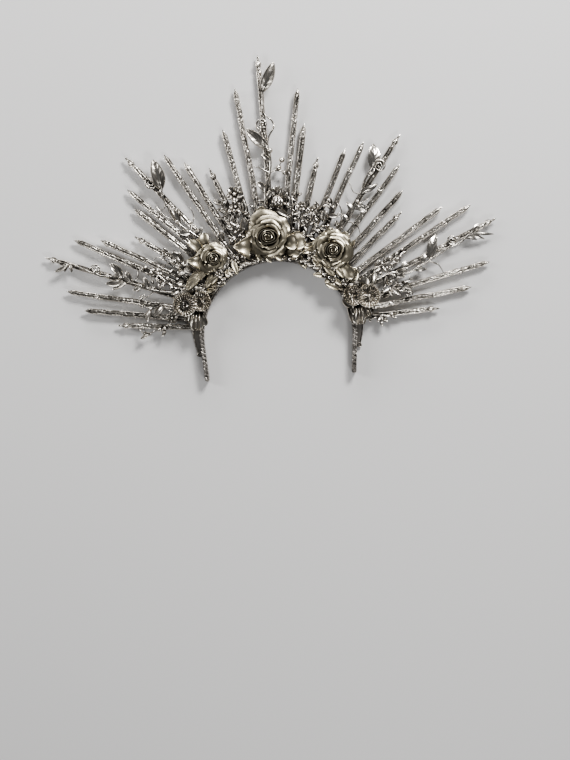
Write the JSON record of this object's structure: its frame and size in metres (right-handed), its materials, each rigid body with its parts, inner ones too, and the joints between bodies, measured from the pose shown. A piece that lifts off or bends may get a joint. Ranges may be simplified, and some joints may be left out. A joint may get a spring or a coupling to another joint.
{
  "type": "halo crown",
  "caption": "Halo crown with a headband, a base plate, a fan of pointed cast rays, climbing vines with coiled tendrils, roses and leafy sprays.",
  "frame": {"origin": "middle of the crown's outline seen from the front, on the plane of its flat back", "axes": "+X to the right seen from the front, +Y towards the crown's top, +Z out of its front; it lies on its back"},
  "size_m": [0.4524, 0.3227, 0.0308],
  "materials": {
    "band_silver": "rough antique silver, wrapped and painted",
    "plate_silver": "satin antique silver",
    "ray_silver": "hammered antique silver with dark recesses",
    "vine_silver": "antique silver, polished on the high spots",
    "leaf_silver": "antique silver, polished on the high spots",
    "rose_champagne": "polished pale champagne silver",
    "flower_silver": "dark antique silver, polished on the ridges"
  },
  "bodies": {
    "root": {"headband": "band_silver", "halo_base": "plate_silver", "ray_01": "ray_silver", "ray_02": "ray_silver", "ray_03": "ray_silver", "ray_04": "ray_silver", "ray_05": "ray_silver", "ray_06": "ray_silver", "ray_07": "ray_silver", "ray_08": "ray_silver", "ray_09": "ray_silver", "ray_10": "ray_silver", "ray_11": "ray_silver", "ray_12": "ray_silver", "ray_13": "ray_silver", "ray_14": "ray_silver", "ray_15": "ray_silver", "ray_16": "ray_silver", "ray_17": "ray_silver", "ray_18": "ray_silver", "ray_19": "ray_silver", "ray_20": "ray_silver", "ray_21": "ray_silver", "ray_22": "ray_silver", "ray_23": "ray_silver", "ray_24": "ray_silver", "ray_25": "ray_silver", "ray_26": "ray_silver", "ray_27": "ray_silver", "ray_28": "ray_silver", "ray_29": "ray_silver", "ray_30": "ray_silver", "ray_31": "ray_silver", "vine_1": "vine_silver", "vine_2": "vine_silver", "vine_3": "vine_silver", "vine_4": "vine_silver", "vine_5": "vine_silver", "flower_1": "flower_silver", "flower_2": "rose_champagne", "flower_3": "rose_champagne", "flower_4": "rose_champagne", "flower_5": "flower_silver", "garland_left": "leaf_silver", "garland_right": "leaf_silver", "spray_upper_left": "leaf_silver", "spray_upper_right": "leaf_silver", "thistle_spray": "leaf_silver", "bud_sprig_left": "leaf_silver", "bud_sprig_right": "leaf_silver", "leaf_bunch_right": "leaf_silver", "petal_cluster_left": "leaf_silver", "leaf_pair_left": "leaf_silver", "twig_left": "leaf_silver", "twig_right": "leaf_silver"}
  },
  "joints": []
}
